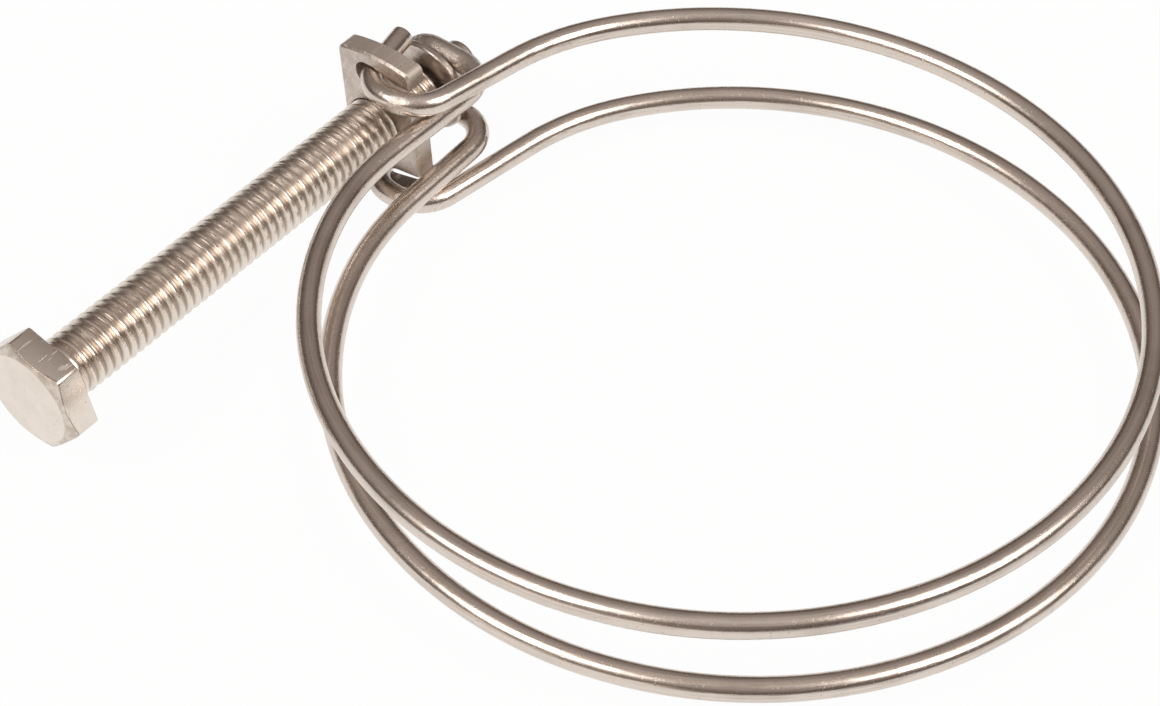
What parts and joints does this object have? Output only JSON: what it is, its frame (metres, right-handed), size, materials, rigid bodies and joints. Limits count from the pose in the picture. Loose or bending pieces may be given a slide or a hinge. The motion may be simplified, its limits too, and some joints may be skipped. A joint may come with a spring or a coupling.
{
  "type": "double wire hose clamp",
  "caption": "Hose clamp of one doubled round wire, closed by a fully threaded hex bolt through a tapped nut plate that pushes a flanged cup in the wire's U-bend.",
  "frame": {"origin": "centre of the ring, half-way between its two turns, on the hose's axis", "axes": "+Z along the hose, +X along the bolt towards its tip, +Y from the hose's axis out to the bolt"},
  "size_m": [0.083, 0.0862, 0.0173],
  "materials": {
    "wire": "bright drawn steel wire, lightly plated",
    "bolt": "bright plated steel with a slightly golden tone",
    "plate": "blanked and tumbled steel plate, lightly plated",
    "cup": "pressed steel, lightly plated"
  },
  "bodies": {
    "band": {"wire_band": "wire", "nut_plate": "plate", "thrust_cup": "cup"},
    "bolt": {"hex_bolt": "bolt"}
  },
  "joints": [
    {"name": "bolt_turn", "type": "hinge", "parent": "band", "child": "bolt", "pos_m": [-0.0412, 0.04236, 0], "axis": [1, 0, 0], "continuous": true}
  ]
}
